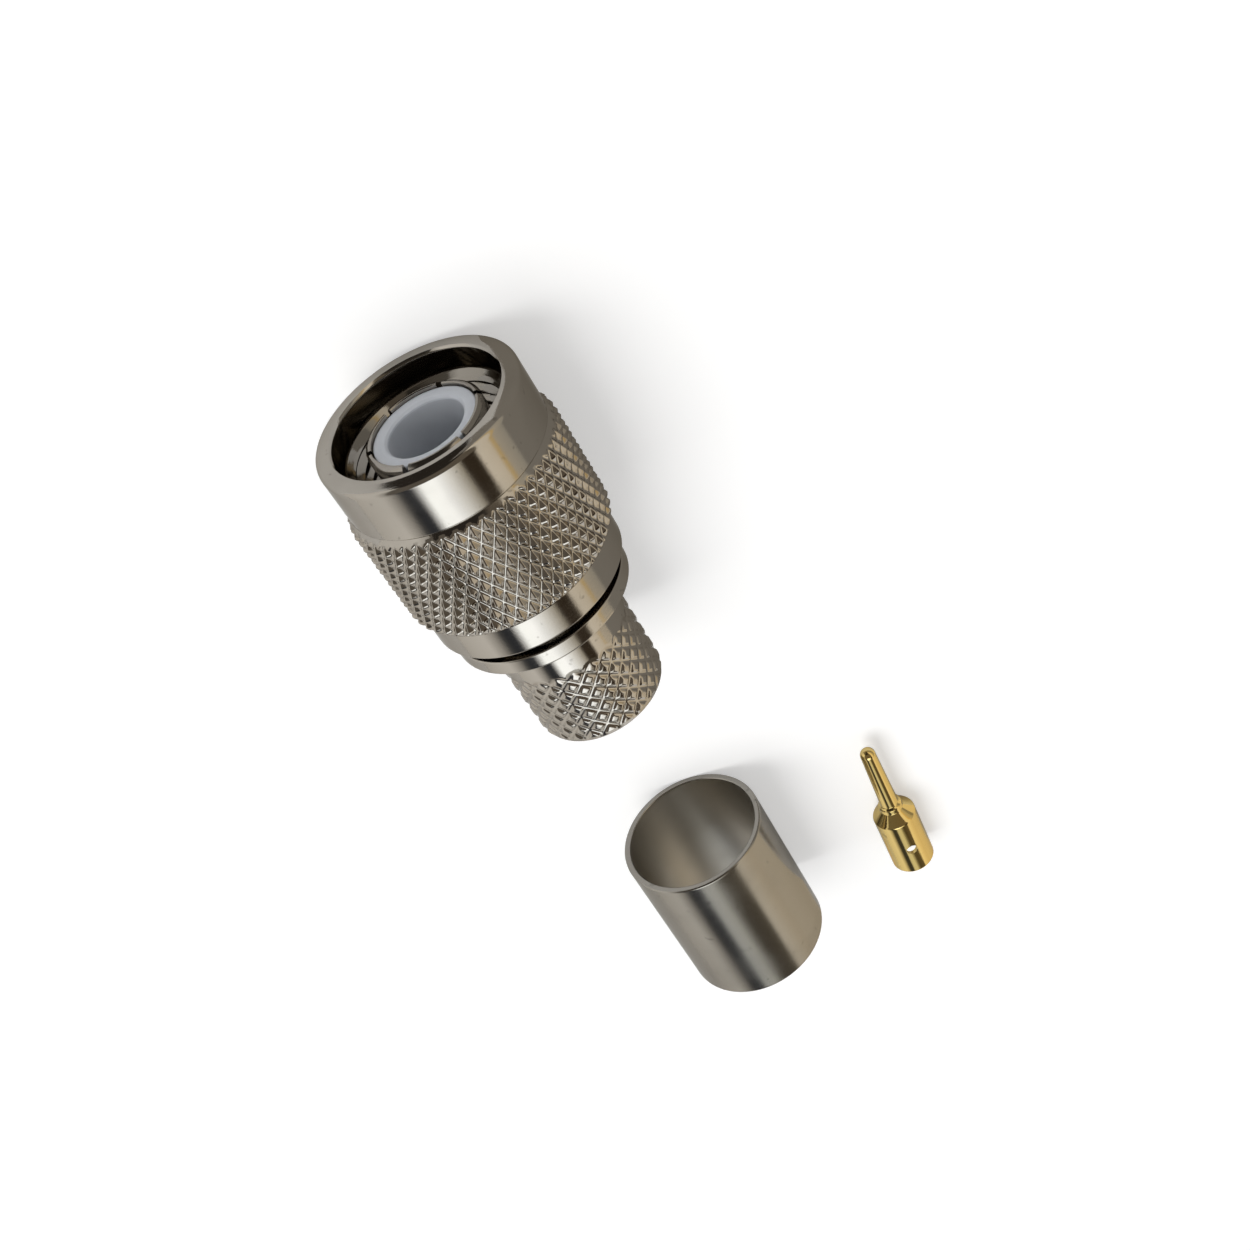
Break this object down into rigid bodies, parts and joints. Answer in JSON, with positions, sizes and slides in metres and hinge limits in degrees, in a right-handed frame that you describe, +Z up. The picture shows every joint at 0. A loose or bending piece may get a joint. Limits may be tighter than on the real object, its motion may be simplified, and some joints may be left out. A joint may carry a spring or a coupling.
{
  "type": "tnc connector",
  "caption": "Crimp plug for coaxial cable with a free-turning knurled coupling nut, lying with its crimp ferrule and gold contact pin beside it.",
  "frame": {"origin": "centre of the bounding box in plan, on the surface that the pieces lie on", "axes": "+Z up; the plug's axis is parallel to Y with the mating end toward -Y; +X to the right seen from the mating end's back"},
  "size_m": [0.0218, 0.0604, 0.0152],
  "materials": {
    "body_nickel": "nickel plate on turned brass, knurled on the stem",
    "nut_nickel": "nickel plate on turned brass, diamond knurled",
    "ring_bronze": "plain spring bronze",
    "black_rubber": "moulded silicone rubber",
    "contact_nickel": "nickel plate on slotted spring bronze",
    "white_ptfe": "turned white fluoropolymer",
    "ferrule_nickel": "nickel plate on drawn annealed tube",
    "pin_gold": "polished gold plate on turned brass"
  },
  "bodies": {
    "plug": {"connector_body": "body_nickel", "retaining_ring": "ring_bronze", "gasket": "black_rubber", "outer_contact": "contact_nickel", "insulator": "white_ptfe", "crimp_ferrule": "ferrule_nickel", "contact_pin": "pin_gold"},
    "nut": {"coupling_nut": "nut_nickel"}
  },
  "joints": [
    {"name": "nut_spin", "type": "hinge", "parent": "plug", "child": "nut", "pos_m": [0.00333, -0.022, 0.0076], "axis": [0, -1, 0], "continuous": true}
  ]
}
